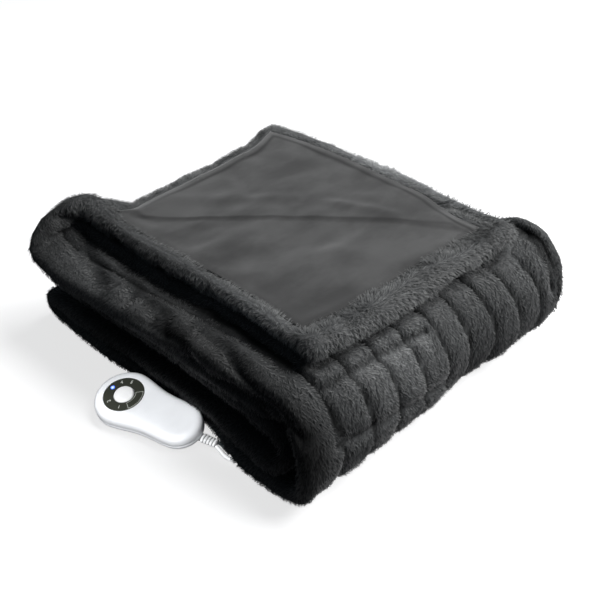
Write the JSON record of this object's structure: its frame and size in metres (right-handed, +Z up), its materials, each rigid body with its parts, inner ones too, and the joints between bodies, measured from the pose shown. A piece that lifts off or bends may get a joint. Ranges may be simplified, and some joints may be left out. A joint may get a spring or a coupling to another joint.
{
  "type": "electric heated throw",
  "caption": "Faux-fur electric heated throw folded into a stack, smooth lining up, with its wired pear-shaped hand control lying beside it.",
  "frame": {"origin": "on the floor, in the middle of the flat underside of the folded throw", "axes": "+Z up; +X towards the large ribbed fold; -Y towards the side where the hand control lies"},
  "size_m": [0.5058, 0.612, 0.1675],
  "materials": {
    "fur": "soft charcoal-grey faux fur with channels carved in its pile",
    "smooth_cloth": "matt grey short-napped knitted lining",
    "white_plastic": "satin-gloss white moulded plastic",
    "dark_plastic": "semi-matt dark olive-grey printed dial",
    "lens": "lit blue indicator lens",
    "white_rubber": "white flexible moulded boot and plug",
    "white_lead": "white flexible cord jacket",
    "brass": "bare stamped contact blades"
  },
  "bodies": {
    "throw_set": {"throw": "fur", "lining": "smooth_cloth", "control_lower_shell": "white_plastic", "control_upper_shell": "white_plastic", "dial_ring": "dark_plastic", "led_lens": "lens", "strain_relief": "white_rubber", "mains_lead": "white_lead", "mains_coil": "white_lead", "plug_lead": "white_lead", "plug_body": "white_rubber", "plug_blade_left": "brass", "plug_blade_right": "brass", "control_lead": "white_lead", "control_coil": "white_lead", "hem_lead": "white_lead"},
    "button": {"push_button": "white_plastic"}
  },
  "joints": [
    {"name": "button_press", "type": "slide", "parent": "throw_set", "child": "button", "axis": [-0.0429, 0.1859, -0.9816], "range_m": [0, 0.0015], "stiffness_N_per_m": 400, "springref_m": -0.002}
  ]
}
